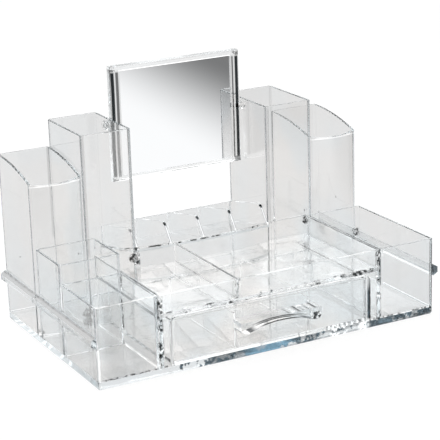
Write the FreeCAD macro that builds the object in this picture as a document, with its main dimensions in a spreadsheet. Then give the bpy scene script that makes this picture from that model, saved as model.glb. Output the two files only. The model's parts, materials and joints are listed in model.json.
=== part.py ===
# Clear acrylic make-up organiser: moulded bins, brush towers and a deck bonded on a thick base
# plate, a lipstick rack between the towers, one drawer under the deck and a tilting mirror that
# turns on two pins through the towers' inner walls.
# Millimetres. The origin is the middle of the base plate's underside, the front faces -Y, +Z is up.
import FreeCAD, Part
import math
import os
import re
import Sketcher

Vector = FreeCAD.Vector
doc = FreeCAD.newDocument("make_up_organiser")

# ---------------------------------------------------------------- driving dimensions

SIZES = [
    ("case_width", 320, "base plate, left to right"),
    ("case_depth", 194, "base plate, front to back"),
    ("base_thick", 7, "base plate"),
    ("base_round", 2.5, "round along the base plate's lower edge"),
    ("wall", 2.2, "moulded walls"),
    ("bond_gap", 0.1, "cement film between bonded pieces"),
    ("corner_round", 3, "upright outer corners"),
    ("inner_round", 1.2, "upright inner corners"),
    ("rim_break", 0.5, "flats along the upper rims"),
    ("side_width", 55, "bins at each side, left to right"),
    ("rim_height", 69.5, "top of the front bins and of the deck's walls"),
    ("middle_rim_height", 85.5, "top of the middle bin on the left"),
    ("front_bin_depth", 68, "left front bin, front to back"),
    ("bin_line", 119, "front of the case to the back of the side bins"),
    ("tower_setback", 2.5, "inner towers' front behind the back of the side bins"),
    ("outer_tower_width", 48, "short tower at each side"),
    ("inner_tower_width", 46.5, "tall tower beside it"),
    ("outer_tower_height", 151, "back rim of the short towers"),
    ("outer_tower_drop", 14, "fall of the short towers' rim from back to front"),
    ("inner_tower_height", 175, "rim of the tall towers"),
    ("tower_bow", 5.5, "bow of the short towers' front wall"),
    ("deck_depth", 17, "deck's walls above the deck"),
    ("deck_thick", 2, "deck plate"),
    ("deck_bow", 7, "bow of the deck's rear wall"),
    ("partition_thick", 2, "partitions and rack fins"),
    ("rack_step", 2.5, "rack floor at the tower line below the deck's rim"),
    ("rack_fall", 15, "fall of the rack floor towards the back"),
    ("fin_height", 19, "rack fins above the rack floor"),
    ("fin_lean", 12.5, "set-back of a fin's top front corner"),
    ("fin_round", 5, "round at a fin's top front corner"),
    ("back_wall_height", 70.5, "top of the wall behind the rack"),
    ("bay_wall", 3, "side walls of the drawer bay"),
    ("jamb_width", 6.5, "jambs beside the drawer opening"),
    ("opening_rail", 1.5, "rail over the drawer opening"),
    ("opening_round", 6, "upper corners of the drawer opening"),
    ("front_thick", 3, "drawer front and the frame around it"),
    ("front_clear", 0.5, "drawer front to its opening"),
    ("run_clear", 0.3, "drawer to the base plate and to the towers"),
    ("drawer_inset", 1.8, "drawer front's edge to the drawer's side"),
    ("drawer_headroom", 3.6, "top of the opening to the drawer sides"),
    ("drawer_step", 5.7, "drawer sides to the partitions' top"),
    ("drawer_cell", 68, "middle compartment of the drawer"),
    ("pull_width", 76, "drawer pull, end to end"),
    ("pull_level", 26, "underside of the pull's feet"),
    ("pull_foot", 3, "flat underside of each foot"),
    ("pull_round", 4, "lower outer corners of the pull"),
    ("pull_rise", 5.5, "arch under the pull"),
    ("pull_thick", 4.5, "pull over the middle of its arch"),
    ("pull_reach", 13.5, "pull in front of the drawer"),
    ("rail_level", 35.5, "underside of the side rails, at the case"),
    ("rail_height", 10, "side rails, at the case"),
    ("rail_reach", 4.5, "side rails beyond the case"),
    ("rail_slope", 2.5, "fall of the side rails' upper and lower faces"),
    ("mirror_gap", 1.5, "mirror frame to each tower"),
    ("mirror_height", 102, "mirror frame"),
    ("mirror_thick", 9, "mirror frame"),
    ("side_border", 9.5, "frame at the mirror plate's sides"),
    ("end_border", 4, "frame above and below the mirror plate"),
    ("mirror_recess", 4.5, "pocket for the mirror plate"),
    ("mirror_nose", 4, "bull-nosed sides of the mirror frame"),
    ("mirror_edge", 0.6, "flats around the mirror frame's ends"),
    ("plate_thick", 3, "mirror plate"),
    ("pivot_inset", 26, "back of the case to the mirror's pivot"),
    ("pivot_drop", 6.5, "rim of the tall towers to the mirror's pivot"),
    ("boss_radius", 3.8, "bosses at the frame's sides"),
    ("pivot_clear", 0.4, "boss to the tower, and pin head to the tower"),
    ("pin_radius", 2.4, "pivot pin"),
    ("pin_fit", 0.08, "pin in the tower's hole, radial"),
    ("pin_depth", 5, "pin inside the frame"),
    ("head_radius", 4.5, "pivot pin's head"),
    ("head_thick", 2, "pivot pin's head"),
    ("head_break", 0.8, "flat around the pin head's rim"),
]

sheet = doc.addObject("Spreadsheet::Sheet", "Sizes")
for row, (alias, amount, meaning) in enumerate(SIZES, start=1):
    sheet.set(f"A{row}", meaning)
    sheet.set(f"B{row}", str(amount))
    sheet.setAlias(f"B{row}", alias)
doc.recompute()

ALIASES = {alias for alias, amount, meaning in SIZES}


def on_sheet(formula):
    """The formula with each size's name pointing at its cell in the sheet."""
    return re.sub(r"[a-z_]+", lambda word: f"Sizes.{word[0]}" if word[0] in ALIASES else word[0], formula)


def amount_of(formula):
    """The formula's present value."""
    return float(sheet.evalExpression(on_sheet(formula)))


def bind(thing, path, formula):
    """Ties one property of a document object to the sheet."""
    thing.setExpression(path, on_sheet(formula))


# Places that several pieces share, as formulas of the sizes.
FRONT = "(-case_depth / 2)"
BACK = "(case_depth / 2)"
HALF_CASE = "(case_width / 2)"
BIN_LINE = "(bin_line - case_depth / 2)"
TOWER_LINE = "(bin_line + tower_setback - case_depth / 2)"
FLOOR = "(base_thick + bond_gap)"
DECK_HALF = "(case_width / 2 - side_width - bond_gap)"
DECK_LEVEL = "(rim_height - deck_depth)"
DECK_UNDER = "(rim_height - deck_depth - deck_thick)"
RACK_HALF = "(case_width / 2 - outer_tower_width - inner_tower_width - bond_gap)"
RACK_SLOPE = "(rack_fall / (case_depth - bin_line - tower_setback))"
PIVOT_LINE = "(case_depth / 2 - pivot_inset)"
PIVOT_LEVEL = "(inner_tower_height - pivot_drop)"
MIRROR_HALF = "(case_width / 2 - outer_tower_width - inner_tower_width - mirror_gap)"


def rack_floor_at(y):
    """Height of the rack's sloping floor at the depth y."""
    return f"(rim_height - rack_step - ({y} - {TOWER_LINE}) * {RACK_SLOPE})"


def bow_radius(chord, bow):
    """Radius of the arc over a chord that stands out by the bow at its middle."""
    return f"(({chord})^2 / (8 * {bow}) + {bow} / 2)"


# ---------------------------------------------------------------- drawing and solid helpers

def new_body(label):
    body = doc.addObject("PartDesign::Body", label)
    body.Label = label
    return body


def new_sketch(body, plane_role, name, level="0"):
    """A sketch on one of the body's own planes, lifted off it by the level."""
    sketch = body.newObject("Sketcher::SketchObject", name)
    plane = next(item for item in body.Origin.OriginFeatures if item.Role == plane_role)
    sketch.AttachmentSupport = [(plane, "")]
    sketch.MapMode = "FlatFace"
    bind(sketch, "AttachmentOffset.Base.z", level)
    return sketch


def tie_point(sketch, geometry, end, x, y):
    """Holds one end of a line or arc at the formulas x and y."""
    for kind, formula in (("DistanceX", x), ("DistanceY", y)):
        index = sketch.addConstraint(Sketcher.Constraint(kind, geometry, end, amount_of(formula)))
        bind(sketch, f"Constraints[{index}]", formula)


def arc_between(start, end, radius, outward):
    """An arc from start to end; outward puts its centre on the left of that direction."""
    chord = end - start
    left = Vector(-chord.y, chord.x, 0).normalize()
    rise = math.sqrt(radius ** 2 - (chord.Length / 2) ** 2)
    centre = (start + end) / 2 + left * (rise if outward else -rise)
    first, last = (start, end) if outward else (end, start)
    turn_first = math.atan2(first.y - centre.y, first.x - centre.x)
    turn_last = math.atan2(last.y - centre.y, last.x - centre.x)
    return Part.ArcOfCircle(Part.Circle(centre, Vector(0, 0, 1), radius), turn_first, turn_last)


def outline(sketch, corners, arcs=None):
    """A closed outline through corners, anticlockwise; arcs gives (radius, outward) by edge number."""
    arcs = arcs or {}
    places = [Vector(amount_of(x), amount_of(y), 0) for x, y in corners]
    edges = []
    for number, start in enumerate(places):
        end = places[(number + 1) % len(places)]
        if number in arcs:
            radius, outward = arcs[number]
            geometry = sketch.addGeometry(arc_between(start, end, amount_of(radius), outward), False)
            index = sketch.addConstraint(Sketcher.Constraint("Radius", geometry, amount_of(radius)))
            bind(sketch, f"Constraints[{index}]", radius)
            edges.append((geometry, 1, 2) if outward else (geometry, 2, 1))
        else:
            edges.append((sketch.addGeometry(Part.LineSegment(start, end), False), 1, 2))
    for number, (geometry, begin, finish) in enumerate(edges):
        following, following_begin, following_finish = edges[(number + 1) % len(edges)]
        sketch.addConstraint(Sketcher.Constraint("Coincident", geometry, finish, following, following_begin))
        tie_point(sketch, geometry, begin, *corners[number])


def rectangle(sketch, x_low, y_low, x_high, y_high):
    outline(sketch, [(x_low, y_low), (x_high, y_low), (x_high, y_high), (x_low, y_high)])


def circle(sketch, x, y, radius):
    geometry = sketch.addGeometry(Part.Circle(Vector(amount_of(x), amount_of(y), 0), Vector(0, 0, 1), amount_of(radius)), False)
    tie_point(sketch, geometry, 3, x, y)
    index = sketch.addConstraint(Sketcher.Constraint("Radius", geometry, amount_of(radius)))
    bind(sketch, f"Constraints[{index}]", radius)


def pad(body, sketch, length, name, both_ways=False, backwards=False):
    feature = body.newObject("PartDesign::Pad", name)
    feature.Profile = sketch
    feature.SideType = "Symmetric" if both_ways else "One side"
    feature.Reversed = backwards
    bind(feature, "Length", length)
    doc.recompute()
    return feature


def pocket(body, sketch, length, name, both_ways=False, backwards=False):
    """Cuts the sketch out of the body and makes sure that something was cut."""
    before = body.Shape.Volume
    feature = body.newObject("PartDesign::Pocket", name)
    feature.Profile = sketch
    feature.SideType = "Symmetric" if both_ways else "One side"
    feature.Reversed = backwards
    bind(feature, "Length", length)
    doc.recompute()
    if body.Shape.Volume >= before:
        raise RuntimeError(f"{body.Label}: {name} cuts nothing")
    return feature


def dress_edges(body, base, chosen, kind, path, size, name):
    """Dresses the edges of the body's last feature that chosen picks."""
    names = [f"Edge{number}" for number, edge in enumerate(base.Shape.Edges, start=1) if chosen(edge)]
    if not names:
        raise RuntimeError(f"{body.Label}: {name} finds no edge")
    feature = body.newObject(kind, name)
    feature.Base = (base, names)
    bind(feature, path, size)
    doc.recompute()
    return feature


def round_edges(body, base, chosen, radius, name):
    return dress_edges(body, base, chosen, "PartDesign::Fillet", "Radius", radius, name)


def break_edges(body, base, chosen, size, name):
    return dress_edges(body, base, chosen, "PartDesign::Chamfer", "Size", size, name)


def runs_along(edge, axis):
    """True for a straight edge along the axis, 0 for X, 1 for Y and 2 for Z."""
    if not isinstance(edge.Curve, (Part.Line, Part.LineSegment)):
        return False
    return abs(abs(edge.tangentAt(edge.FirstParameter)[axis]) - 1) < 1e-6


def at_corner(edge, box):
    """True for an upright edge at a corner of the box in plan."""
    place = edge.CenterOfMass
    near_side = min(abs(place.x - box.XMin), abs(place.x - box.XMax)) < 1e-3
    near_face = min(abs(place.y - box.YMin), abs(place.y - box.YMax)) < amount_of("tower_bow + deck_bow") + 1e-3
    return near_side and near_face


def round_uprights(body, base):
    """Rounds a moulding's upright corners, outside and inside."""
    box = base.Shape.BoundBox
    outside = round_edges(body, base, lambda edge: runs_along(edge, 2) and at_corner(edge, box),
                          "corner_round", "outer_corners")
    return round_edges(body, outside, lambda edge: runs_along(edge, 2) and is_sharp_inside(edge, box),
                       "inner_round", "inner_corners")


def is_sharp_inside(edge, box):
    """True for an upright edge that stands clear of the moulding's outer faces."""
    place = edge.CenterOfMass
    margin = amount_of("wall") / 2
    inside_x = box.XMin + margin < place.x < box.XMax - margin
    inside_y = box.YMin + margin < place.y < box.YMax - margin
    return inside_x and inside_y


def break_rim(body, base, level):
    """Takes the sharpness off every edge of the rim, all of which lie above the level."""
    floor = amount_of(level)
    return break_edges(body, base, lambda edge: edge.BoundBox.ZMin > floor and not runs_along(edge, 2),
                       "rim_break", "rim")


# ---------------------------------------------------------------- bins and towers

def open_tube(label, x_low, x_high, y_front, y_back, top, bow=None):
    """An upright tube on the base plate, open at the top, with a front wall that may bow outwards."""
    body = new_body(label)
    sketch = new_sketch(body, "XY_Plane", f"{label}_plan", FLOOR)
    inner = (f"({x_low} + wall)", f"({x_high} - wall)", f"({y_front} + wall)", f"({y_back} - wall)")
    for left, right, front, back in ((x_low, x_high, y_front, y_back), inner):
        corners = [(left, front), (right, front), (right, back), (left, back)]
        front_arc = {0: (bow_radius(f"{right} - ({left})", bow), True)} if bow else None
        outline(sketch, corners, front_arc)
    return round_uprights(body, pad(body, sketch, f"{top} - {FLOOR}", f"{label}_walls"))


def plain_tube(label, x_low, x_high, y_front, y_back, top):
    tube = open_tube(label, x_low, x_high, y_front, y_back, top)
    break_rim(tube.getParentGeoFeatureGroup(), tube, f"{top} - rim_break")


def side_span(side, near, far):
    """Low and high x of a piece that reaches from near to far on one side of the middle."""
    return (f"(-{far})", f"(-{near})") if side == "left" else (near, far)


BIN_NEAR = "(case_width / 2 - side_width)"
TOWER_JOIN = "(case_width / 2 - outer_tower_width)"
TOWER_NEAR = "(case_width / 2 - outer_tower_width - inner_tower_width)"

plain_tube("left_front_bin", *side_span("left", BIN_NEAR, HALF_CASE),
           FRONT, f"({FRONT} + front_bin_depth - bond_gap)", "rim_height")
plain_tube("left_middle_bin", *side_span("left", BIN_NEAR, HALF_CASE),
           f"({FRONT} + front_bin_depth)", BIN_LINE, "middle_rim_height")
plain_tube("right_bin", *side_span("right", BIN_NEAR, HALF_CASE), FRONT, BIN_LINE, "rim_height")


def outer_tower(side):
    """The short tower: its front wall bows out and its rim falls in an arc towards the front."""
    label = f"{side}_outer_tower"
    front = f"({BIN_LINE} + bond_gap + tower_bow)"
    tube = open_tube(label, *side_span(side, f"({TOWER_JOIN} + bond_gap)", HALF_CASE),
                     front, BACK, "outer_tower_height", "tower_bow")
    body = tube.getParentGeoFeatureGroup()
    cut = new_sketch(body, "YZ_Plane", f"{label}_rim_curve")
    low_rim = "(outer_tower_height - outer_tower_drop)"
    nose = f"({front} - tower_bow - wall)"
    run = f"({BACK} - {nose})"
    radius = f"(({run}^2 + outer_tower_drop^2) / (2 * outer_tower_drop))"
    corners = [(BACK, "outer_tower_height"), (f"({BACK} + wall)", "outer_tower_height"),
               (f"({BACK} + wall)", "(outer_tower_height + outer_tower_drop)"),
               (f"({nose} - wall)", "(outer_tower_height + outer_tower_drop)"),
               (f"({nose} - wall)", low_rim), (nose, low_rim)]
    outline(cut, corners, {5: (radius, False)})
    sloped = pocket(body, cut, "2 * case_width", f"{label}_rim_cut", both_ways=True)
    break_rim(body, sloped, f"{low_rim} - wall")


def inner_tower(side):
    """The tall tower, with the mirror's pivot hole through the wall that faces the middle."""
    label = f"{side}_inner_tower"
    low, high = side_span(side, TOWER_NEAR, TOWER_JOIN)
    tube = open_tube(label, low, high, TOWER_LINE, BACK, "inner_tower_height")
    body = tube.getParentGeoFeatureGroup()
    hole = new_sketch(body, "YZ_Plane", f"{label}_pivot")
    circle(hole, PIVOT_LINE, PIVOT_LEVEL, "(pin_radius + pin_fit)")
    pierced = pocket(body, hole, f"{TOWER_NEAR} + 2 * wall", f"{label}_pivot_hole", backwards=(side == "right"))
    break_rim(body, pierced, "inner_tower_height - rim_break")


for hand in ("left", "right"):
    outer_tower(hand)
    inner_tower(hand)

# ---------------------------------------------------------------- base, rails and back wall

def slab(label, plane_role, corners, level, length, both_ways=False):
    """One plate or bar padded from a rectangle."""
    body = new_body(label)
    sketch = new_sketch(body, plane_role, f"{label}_outline", level)
    rectangle(sketch, *corners)
    return body, pad(body, sketch, length, f"{label}_plate", both_ways)


base, base_pad = slab("base_plate", "XY_Plane", (f"(-{HALF_CASE})", FRONT, HALF_CASE, BACK), "0", "base_thick")
base_corners = round_edges(base, base_pad, lambda edge: runs_along(edge, 2), "corner_round", "corners")
round_edges(base, base_corners, lambda edge: edge.BoundBox.ZMax < 1e-6, "base_round", "lower_edge")


def side_rail(side):
    """A lifting ledge along the side of the case, with an upright face between two sloping ones."""
    label = f"{side}_side_rail"
    body = new_body(label)
    profile = new_sketch(body, "XZ_Plane", f"{label}_profile")
    sign = "-1" if side == "left" else "1"
    root = f"({sign} * ({HALF_CASE} + bond_gap))"
    lip = f"({sign} * ({HALF_CASE} + rail_reach))"
    top = "(rail_level + rail_height)"
    corners = [(root, "rail_level"), (lip, "(rail_level + rail_slope)"), (lip, f"({top} - rail_slope)"), (root, top)]
    outline(profile, corners if side == "right" else corners[::-1])
    pad(body, profile, "case_depth", f"{label}_ledge", both_ways=True)


side_rail("left")
side_rail("right")

back, back_pad = slab("back_wall", "XY_Plane",
                      (f"(-{RACK_HALF})", f"({BACK} - wall)", RACK_HALF, BACK),
                      FLOOR, f"back_wall_height - {FLOOR}")
break_edges(back, back_pad, lambda edge: runs_along(edge, 0) and edge.BoundBox.ZMin > amount_of(DECK_LEVEL),
            "rim_break", "rim")

# ---------------------------------------------------------------- drawer bay and deck

BAY_TOP = f"({DECK_UNDER} - bond_gap)"
OPENING_HALF = f"({DECK_HALF} - bay_wall - bond_gap - jamb_width)"
OPENING_TOP = f"({BAY_TOP} - opening_rail)"
for hand in ("left", "right"):
    near, far = side_span(hand, f"({DECK_HALF} - bay_wall)", DECK_HALF)
    slab(f"{hand}_bay_wall", "XY_Plane", (near, FRONT, far, f"({TOWER_LINE} - bond_gap)"),
         FLOOR, f"{BAY_TOP} - {FLOOR}")


def bay_frame():
    """The frame around the drawer front: two jambs and a thin rail, with round upper corners."""
    body = new_body("bay_front_frame")
    sketch = new_sketch(body, "XZ_Plane", "bay_front_frame_outline", "case_depth / 2 - front_thick")
    outer = f"({DECK_HALF} - bay_wall - bond_gap)"
    inner = OPENING_HALF
    head = OPENING_TOP
    spring = f"({head} - opening_round)"
    turn = f"({inner} - opening_round)"
    corners = [(f"(-{outer})", FLOOR), (f"(-{inner})", FLOOR), (f"(-{inner})", spring), (f"(-{turn})", head),
               (turn, head), (inner, spring), (inner, FLOOR), (outer, FLOOR), (outer, BAY_TOP),
               (f"(-{outer})", BAY_TOP)]
    outline(sketch, corners, {2: ("opening_round", False), 4: ("opening_round", False)})
    pad(body, sketch, "front_thick", "bay_front_frame_plate")


def deck_outline(sketch, inset):
    """The deck's plan, moved in by inset, with the rear edge bowed between the towers."""
    half = f"({DECK_HALF} - {inset})"
    rear = f"({TOWER_LINE} - bond_gap - {inset})"
    chord = f"(2 * {TOWER_NEAR})"
    corners = [(f"(-{half})", f"({FRONT} + {inset})"), (half, f"({FRONT} + {inset})"), (half, rear),
               (TOWER_NEAR, rear), (f"(-{TOWER_NEAR})", rear), (f"(-{half})", rear)]
    outline(sketch, corners, {3: (bow_radius(chord, "deck_bow"), False)})


def deck_tray():
    """The tray over the drawer: a floor and four walls, the rear one bowed."""
    body = new_body("deck_tray")
    plan = new_sketch(body, "XY_Plane", "deck_tray_plan", DECK_UNDER)
    deck_outline(plan, "0")
    block = pad(body, plan, f"rim_height - {DECK_UNDER}", "deck_tray_block")
    hollow = new_sketch(body, "XY_Plane", "deck_tray_hollow", DECK_LEVEL)
    deck_outline(hollow, "wall")
    tray = pocket(body, hollow, "deck_depth", "deck_tray_inside", backwards=True)
    break_rim(body, tray, "rim_height - rim_break")


def deck_partition():
    """The partition across the deck, in line with a fin of the rack behind it."""
    offset = fin_place(-1)
    chord = f"(2 * {TOWER_NEAR})"
    radius = bow_radius(chord, "deck_bow")
    wall_line = f"({TOWER_LINE} - bond_gap - deck_bow + {radius} - sqrt({radius}^2 - ({offset})^2))"
    rear = f"({wall_line} - wall - 2 * bond_gap)"
    body, plate = slab("deck_partition", "YZ_Plane",
                       (f"({FRONT} + wall + bond_gap)", f"({DECK_LEVEL} + bond_gap)", rear, "rim_height"),
                       offset, "partition_thick", both_ways=True)
    break_edges(body, plate, lambda edge: runs_along(edge, 1) and edge.BoundBox.ZMin > amount_of(f"{DECK_LEVEL} + wall"),
                "rim_break", "rim")


# ---------------------------------------------------------------- lipstick rack

FIN_COUNT = 5


def fin_place(step):
    """Middle plane of a rack fin, counted from the one in the middle."""
    last = (FIN_COUNT - 1) // 2
    return f"(({RACK_HALF} - partition_thick / 2) * {step} / {last})"


def rack_floor():
    """The rack's floor, sloping down to the back wall, with its front edge bowed to the deck's wall."""
    body = new_body("rack_floor")
    side = new_sketch(body, "YZ_Plane", "rack_floor_profile")
    front = f"({TOWER_LINE} - deck_bow)"
    rear = f"({BACK} - wall - bond_gap)"
    corners = [(front, f"({rack_floor_at(front)} - wall)"), (rear, f"({rack_floor_at(rear)} - wall)"),
               (rear, rack_floor_at(rear)), (front, rack_floor_at(front))]
    outline(side, corners)
    slope = pad(body, side, f"2 * {RACK_HALF}", "rack_floor_slope", both_ways=True)
    plan = new_sketch(body, "XY_Plane", "rack_floor_front")
    ahead = f"({front} - 2 * wall)"
    half = TOWER_NEAR
    corners = [(f"(-{half})", ahead), (half, ahead), (half, TOWER_LINE), (f"(-{half})", TOWER_LINE)]
    outline(plan, corners, {2: (bow_radius(f"2 * {half}", "deck_bow"), False)})
    pocket(body, plan, "4 * rim_height", "rack_floor_bow", both_ways=True)
    return slope


def rack_fin(number):
    """One fin of the rack: foot on the sloping floor, front edge leaning back, top front corner round."""
    label = f"rack_fin_{number}"
    body = new_body(label)
    side = new_sketch(body, "YZ_Plane", f"{label}_profile", fin_place(number - (FIN_COUNT + 1) // 2))
    foot = f"({TOWER_LINE} + bond_gap)"
    rear = f"({BACK} - wall - bond_gap)"
    crown = f"({foot} + fin_lean)"
    corners = [(foot, f"({rack_floor_at(foot)} + bond_gap)"), (rear, f"({rack_floor_at(rear)} + bond_gap)"),
               (rear, f"({rack_floor_at(rear)} + fin_height)"), (crown, f"({rack_floor_at(crown)} + fin_height)")]
    outline(side, corners)
    plate = pad(body, side, "partition_thick", f"{label}_plate", both_ways=True)
    top = plate.Shape.BoundBox.ZMax
    round_edges(body, plate, lambda edge: runs_along(edge, 0) and edge.BoundBox.ZMin > top - 1e-3,
                "fin_round", "crown")


bay_frame()
deck_tray()
deck_partition()
rack_floor()
for fin in range(1, FIN_COUNT + 1):
    rack_fin(fin)

# ---------------------------------------------------------------- drawer

DRAWER_FLOOR = "(base_thick + run_clear)"
FRONT_HALF = f"({OPENING_HALF} - front_clear)"
DRAWER_HALF = f"({FRONT_HALF} - drawer_inset)"
DRAWER_FRONT_LINE = f"({FRONT} + front_thick + bond_gap)"
DRAWER_BACK_LINE = f"({TOWER_LINE} - run_clear)"
DRAWER_BASE_TOP = f"({DRAWER_FLOOR} + wall)"
DRAWER_RIM = f"({OPENING_TOP} - drawer_headroom)"


def drawer_front():
    """The drawer's face plate, flush in its frame, with round upper corners."""
    body = new_body("drawer_front")
    sketch = new_sketch(body, "XZ_Plane", "drawer_front_outline", "case_depth / 2 - front_thick")
    bend = "(opening_round - front_clear)"
    top = f"({OPENING_TOP} - front_clear)"
    turn = f"({FRONT_HALF} - {bend})"
    spring = f"({top} - {bend})"
    corners = [(f"(-{FRONT_HALF})", DRAWER_FLOOR), (FRONT_HALF, DRAWER_FLOOR), (FRONT_HALF, spring), (turn, top),
               (f"(-{turn})", top), (f"(-{FRONT_HALF})", spring)]
    outline(sketch, corners, {2: (bend, True), 4: (bend, True)})
    pad(body, sketch, "front_thick", "drawer_front_plate")


def drawer_tray():
    """The drawer's moulded tray behind the face plate."""
    body = new_body("drawer_tray")
    plan = new_sketch(body, "XY_Plane", "drawer_tray_plan", DRAWER_FLOOR)
    rectangle(plan, f"(-{DRAWER_HALF})", DRAWER_FRONT_LINE, DRAWER_HALF, DRAWER_BACK_LINE)
    block = pad(body, plan, f"{DRAWER_RIM} - {DRAWER_FLOOR}", "drawer_tray_block")
    hollow = new_sketch(body, "XY_Plane", "drawer_tray_hollow", DRAWER_BASE_TOP)
    rectangle(hollow, f"(-{DRAWER_HALF} + wall)", f"({DRAWER_FRONT_LINE} + wall)",
              f"({DRAWER_HALF} - wall)", f"({DRAWER_BACK_LINE} - wall)")
    open_tray = pocket(body, hollow, f"{DRAWER_RIM} - {DRAWER_BASE_TOP}", "drawer_tray_inside", backwards=True)
    rounded = round_uprights(body, open_tray)
    break_rim(body, rounded, f"{DRAWER_RIM} - rim_break")


def drawer_pull():
    """A bridge for the fingers: flat on top, arched below between two feet with round outer corners."""
    body = new_body("drawer_pull")
    sketch = new_sketch(body, "XZ_Plane", "drawer_pull_outline", f"(bond_gap - {FRONT})")
    end = "(pull_width / 2)"
    spring = f"({end} - pull_round)"
    arch = f"({spring} - pull_foot)"
    top = "(pull_level + pull_rise + pull_thick)"
    shoulder = "(pull_level + pull_round)"
    corners = [(f"(-{arch})", "pull_level"), (arch, "pull_level"), (spring, "pull_level"), (end, shoulder),
               (end, top), (f"(-{end})", top), (f"(-{end})", shoulder), (f"(-{spring})", "pull_level")]
    outline(sketch, corners, {0: (bow_radius(f"(2 * {arch})", "pull_rise"), False), 2: ("pull_round", True),
                              6: ("pull_round", True)})
    pad(body, sketch, "pull_reach", "drawer_pull_bridge")


drawer_front()
drawer_tray()
for hand in ("left", "right"):
    low, high = side_span(hand, "(drawer_cell / 2)", "(drawer_cell / 2 + partition_thick)")
    slab(f"drawer_{hand}_partition", "XY_Plane",
         (low, f"({DRAWER_FRONT_LINE} + wall + bond_gap)", high, f"({DRAWER_BACK_LINE} - wall - bond_gap)"),
         f"({DRAWER_BASE_TOP} + bond_gap)", f"{DRAWER_RIM} - drawer_step - {DRAWER_BASE_TOP} - bond_gap")
drawer_pull()

# ---------------------------------------------------------------- mirror

BOSS_END = f"({TOWER_NEAR} - pivot_clear)"


def hang_on_pivot(body):
    """Places a body whose own origin is the pivot."""
    bind(body, "Placement.Base.y", PIVOT_LINE)
    bind(body, "Placement.Base.z", PIVOT_LEVEL)


def mirror_frame():
    """The clear frame: a bull-nosed slab with a pocket for the plate, a boss and a blind socket at each side."""
    body = new_body("mirror_frame")
    half = MIRROR_HALF
    tall = "(mirror_height / 2)"
    shoulder = f"({half} - mirror_nose)"
    face = "(mirror_thick / 2)"
    section = new_sketch(body, "XY_Plane", "mirror_frame_section")
    corners = [(f"(-{shoulder})", f"(-{face})"), (shoulder, f"(-{face})"), (shoulder, face), (f"(-{shoulder})", face)]
    nose = bow_radius("mirror_thick", "mirror_nose")
    outline(section, corners, {1: (nose, True), 3: (nose, True)})
    block = pad(body, section, "mirror_height", "mirror_frame_block", both_ways=True)
    break_edges(body, block, lambda edge: runs_along(edge, 0), "mirror_edge", "frame_ends")
    window = new_sketch(body, "XZ_Plane", "mirror_frame_window", "(mirror_thick / 2)")
    rectangle(window, f"(side_border - {half})", f"(end_border - {tall})",
              f"({half} - side_border)", f"({tall} - end_border)")
    pocket(body, window, "mirror_recess", "mirror_frame_pocket")
    for side, outward in (("left", True), ("right", False)):
        sign = "-1" if side == "left" else "1"
        ring = new_sketch(body, "YZ_Plane", f"{side}_boss", f"{sign} * {shoulder}")
        circle(ring, "0", "0", "boss_radius")
        pad(body, ring, f"{BOSS_END} - {shoulder}", f"{side}_boss_pad", backwards=outward)
        bore = new_sketch(body, "YZ_Plane", f"{side}_socket", f"{sign} * {BOSS_END}")
        circle(bore, "0", "0", "(pin_radius + pin_fit / 4)")
        pocket(body, bore, f"{BOSS_END} - {half} + pin_depth + bond_gap", f"{side}_socket_bore", backwards=outward)
    hang_on_pivot(body)


def mirror_plate():
    """The silvered plate in the frame's pocket."""
    half = f"({MIRROR_HALF} - side_border - bond_gap)"
    tall = "(mirror_height / 2 - end_border - bond_gap)"
    body, plate = slab("mirror_plate", "XZ_Plane", (f"(-{half})", f"(-{tall})", half, tall),
                       "(mirror_thick / 2 - mirror_recess + bond_gap)", "plate_thick")
    hang_on_pivot(body)


def pivot_pin(side):
    """A headed pin, pushed from inside the tower through its wall into the frame's socket."""
    label = f"{side}_pivot_pin"
    body = new_body(label)
    sign = "-1" if side == "left" else "1"
    seat = f"({TOWER_NEAR} + wall + pivot_clear)"
    head = new_sketch(body, "YZ_Plane", f"{label}_head", f"{sign} * {seat}")
    circle(head, "0", "0", "head_radius")
    cap = pad(body, head, "head_thick", f"{label}_cap", backwards=(side == "left"))
    tip = amount_of(f"{seat} + head_thick")
    break_edges(body, cap, lambda edge: abs(edge.CenterOfMass.x) > tip - 1e-3, "head_break", "head_rim")
    shank = new_sketch(body, "YZ_Plane", f"{label}_shank", f"{sign} * {seat}")
    circle(shank, "0", "0", "pin_radius")
    pad(body, shank, f"{seat} - {MIRROR_HALF} + pin_depth", f"{label}_stem", backwards=(side == "right"))
    hang_on_pivot(body)


mirror_frame()
mirror_plate()
pivot_pin("left")
pivot_pin("right")

# ---------------------------------------------------------------- check and write

doc.recompute()
for item in doc.Objects:
    if "Invalid" in item.State or "Error" in item.State:
        raise RuntimeError(f"{item.Label}: {item.State}")

bodies = [item for item in doc.Objects if item.TypeId == "PartDesign::Body"]
os.makedirs("parts", exist_ok=True)
for body in bodies:
    if body.Shape.isNull() or not body.Shape.isValid() or len(body.Shape.Solids) != 1:
        raise RuntimeError(f"{body.Label} is not one valid solid")
for body in bodies:
    body.Shape.exportStep(f"parts/{body.Label}.step")
    print(f"{body.Label}: {body.Shape.Volume / 1000:.2f} cm3")
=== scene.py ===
import json
import math

import bpy
from mathutils import Matrix, Vector


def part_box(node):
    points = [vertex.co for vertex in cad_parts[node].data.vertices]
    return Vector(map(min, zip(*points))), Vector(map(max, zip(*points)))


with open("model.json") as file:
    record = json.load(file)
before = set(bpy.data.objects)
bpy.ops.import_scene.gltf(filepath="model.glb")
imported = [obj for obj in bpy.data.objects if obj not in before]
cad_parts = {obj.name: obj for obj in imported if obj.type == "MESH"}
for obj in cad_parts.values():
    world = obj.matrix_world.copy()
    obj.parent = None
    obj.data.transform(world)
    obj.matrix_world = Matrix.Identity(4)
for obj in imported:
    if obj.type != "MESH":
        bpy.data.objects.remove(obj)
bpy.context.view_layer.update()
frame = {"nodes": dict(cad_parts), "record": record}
scene = bpy.context.scene

# ---------------------------------------------------------------- shader writing

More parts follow.
